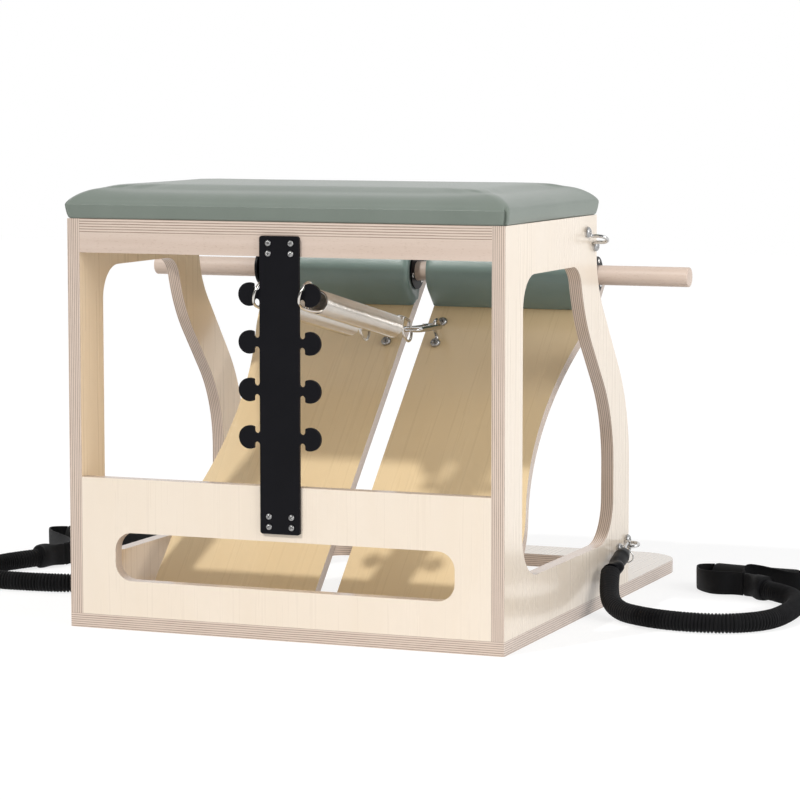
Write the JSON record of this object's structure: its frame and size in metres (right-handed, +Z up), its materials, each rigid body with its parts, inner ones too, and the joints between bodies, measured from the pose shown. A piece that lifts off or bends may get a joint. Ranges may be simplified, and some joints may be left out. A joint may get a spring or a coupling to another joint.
{
  "type": "pilates chair",
  "caption": "Plywood pilates chair with an upholstered seat, split spring-loaded pedals joined by a loose foot dowel, a black hook plate for the springs and sleeved elastic arm cords.",
  "frame": {"origin": "on the floor, on the chair's centre plane, directly under the pedals' hinge axis", "axes": "+X to the right seen from the spring side, +Y from the spring side towards the pedal pads, +Z up"},
  "size_m": [1.2653, 0.8153, 0.601],
  "materials": {
    "birch_plywood": "clear satin lacquer on birch plywood, laminations showing on the edges",
    "beech": "clear satin lacquer on solid beech",
    "sage_vinyl": "fine-grained semi-matte vinyl",
    "black_steel": "matte black powder coat",
    "zinc_steel": "bright zinc plate",
    "bright_chrome": "polished nickel plate",
    "black_rubber": "smooth black rubber",
    "black_webbing": "woven black polyester"
  },
  "bodies": {
    "frame": {"base_board": "birch_plywood", "left_side_panel": "birch_plywood", "right_side_panel": "birch_plywood", "seat_board": "birch_plywood", "rear_panel": "birch_plywood", "seat_cushion_base": "birch_plywood", "rear_rail": "beech", "frame_dowels": "beech", "seat_cushion": "sage_vinyl", "spring_hook_plate": "black_steel", "base_screws": "zinc_steel", "hook_plate_screws": "zinc_steel", "hinge_base_leaves": "zinc_steel", "hinge_base_screws": "zinc_steel", "hinge_pins": "zinc_steel", "upper_panel_eyes": "bright_chrome", "lower_panel_eyes": "bright_chrome", "panel_eye_screws": "bright_chrome", "cord_split_rings": "bright_chrome", "cord_end_rings": "bright_chrome", "left_snap_hook": "bright_chrome", "left_cord_boot": "black_rubber", "left_cord_core": "black_rubber", "left_handle_grip": "black_rubber", "left_cord_sleeve": "black_webbing", "left_handle_cup": "black_webbing", "left_handle_strap": "black_webbing", "right_snap_hook": "bright_chrome", "right_cord_boot": "black_rubber", "right_cord_core": "black_rubber", "right_handle_grip": "black_rubber", "right_cord_sleeve": "black_webbing", "right_handle_cup": "black_webbing", "right_handle_strap": "black_webbing"},
    "left_pedal": {"left_pedal_board": "birch_plywood", "left_pedal_pad": "sage_vinyl", "left_pad_flanges": "black_steel", "left_flange_screws": "black_steel", "left_pedal_eye": "bright_chrome", "left_pedal_eye_screws": "bright_chrome", "left_pedal_hinge_leaves": "zinc_steel", "left_pedal_hinge_screws": "zinc_steel"},
    "left_spring_body": {"left_spring": "bright_chrome"},
    "left_carabiner_body": {"left_carabiner": "bright_chrome"},
    "left_carabiner_gate_body": {"left_carabiner_gate": "bright_chrome"},
    "left_snap_gate_body": {"left_snap_gate": "bright_chrome"},
    "right_pedal": {"right_pedal_board": "birch_plywood", "right_pedal_pad": "sage_vinyl", "right_pad_flanges": "black_steel", "right_flange_screws": "black_steel", "right_pedal_eye": "bright_chrome", "right_pedal_eye_screws": "bright_chrome", "right_pedal_hinge_leaves": "zinc_steel", "right_pedal_hinge_screws": "zinc_steel"},
    "right_spring_body": {"right_spring": "bright_chrome"},
    "right_carabiner_body": {"right_carabiner": "bright_chrome"},
    "right_carabiner_gate_body": {"right_carabiner_gate": "bright_chrome"},
    "right_snap_gate_body": {"right_snap_gate": "bright_chrome"},
    "foot_dowel_body": {"foot_dowel": "beech"}
  },
  "joints": [
    {"name": "left_pedal_hinge", "type": "hinge", "parent": "frame", "child": "left_pedal", "pos_m": [-0.1385, 0, 0.0239], "axis": [-1, 0, 0], "range_deg": [0, 44], "stiffness_Nm_per_rad": 33, "springref_deg": -20.86},
    {"name": "right_pedal_hinge", "type": "hinge", "parent": "frame", "child": "right_pedal", "pos_m": [0.1385, 0, 0.0239], "axis": [-1, 0, 0], "range_deg": [0, 44], "stiffness_Nm_per_rad": 33, "springref_deg": -20.86},
    {"name": "foot_dowel_slide", "type": "slide", "parent": "left_pedal", "child": "foot_dowel_body", "axis": [1, 0, 0], "range_m": [-0.125, 0.16]},
    {"name": "left_carabiner_turn", "type": "hinge", "parent": "left_pedal", "child": "left_carabiner_body", "pos_m": [-0.0351, 0.31741, 0.38193], "axis": [1, 0, 0], "range_deg": [0, 21.5]},
    {"name": "left_spring_stretch", "type": "slide", "parent": "left_carabiner_body", "child": "left_spring_body", "axis": [0, -0.9815, 0.1913], "range_m": [0, 0.271], "deforming": ["left_spring"]},
    {"name": "left_carabiner_gate_turn", "type": "hinge", "parent": "left_carabiner_body", "child": "left_carabiner_gate_body", "pos_m": [-0.0231, 0.24133, 0.38352], "axis": [0, 0.0209, 0.9998], "range_deg": [0, 14], "stiffness_Nm_per_rad": 0.25, "springref_deg": -34.38},
    {"name": "left_snap_gate_turn", "type": "hinge", "parent": "frame", "child": "left_snap_gate_body", "pos_m": [-0.32379, 0.33061, 0.08255], "axis": [0.9973, -0.0738, 0], "range_deg": [0, 20], "stiffness_Nm_per_rad": 0.06, "springref_deg": -34.38},
    {"name": "right_carabiner_turn", "type": "hinge", "parent": "right_pedal", "child": "right_carabiner_body", "pos_m": [0.0351, 0.31741, 0.38193], "axis": [1, 0, 0], "range_deg": [0, 21.5]},
    {"name": "right_spring_stretch", "type": "slide", "parent": "right_carabiner_body", "child": "right_spring_body", "axis": [0, -0.9815, 0.1913], "range_m": [0, 0.271], "deforming": ["right_spring"]},
    {"name": "right_carabiner_gate_turn", "type": "hinge", "parent": "right_carabiner_body", "child": "right_carabiner_gate_body", "pos_m": [0.0231, 0.24133, 0.38352], "axis": [0, -0.0209, -0.9998], "range_deg": [0, 14], "stiffness_Nm_per_rad": 0.25, "springref_deg": -34.38},
    {"name": "right_snap_gate_turn", "type": "hinge", "parent": "frame", "child": "right_snap_gate_body", "pos_m": [0.32379, 0.33061, 0.08255], "axis": [0.9973, 0.0738, 0], "range_deg": [0, 20], "stiffness_Nm_per_rad": 0.06, "springref_deg": -34.38}
  ],
  "couplings": [
    {"joint": "right_pedal_hinge", "follows": "left_pedal_hinge", "ratio": 1},
    {"joint": "left_spring_stretch", "follows": "left_pedal_hinge", "m_per_rad": 0.3503},
    {"joint": "left_carabiner_turn", "follows": "left_pedal_hinge", "ratio": 0.4826},
    {"joint": "right_spring_stretch", "follows": "left_pedal_hinge", "m_per_rad": 0.3503},
    {"joint": "right_carabiner_turn", "follows": "left_pedal_hinge", "ratio": 0.4826}
  ]
}
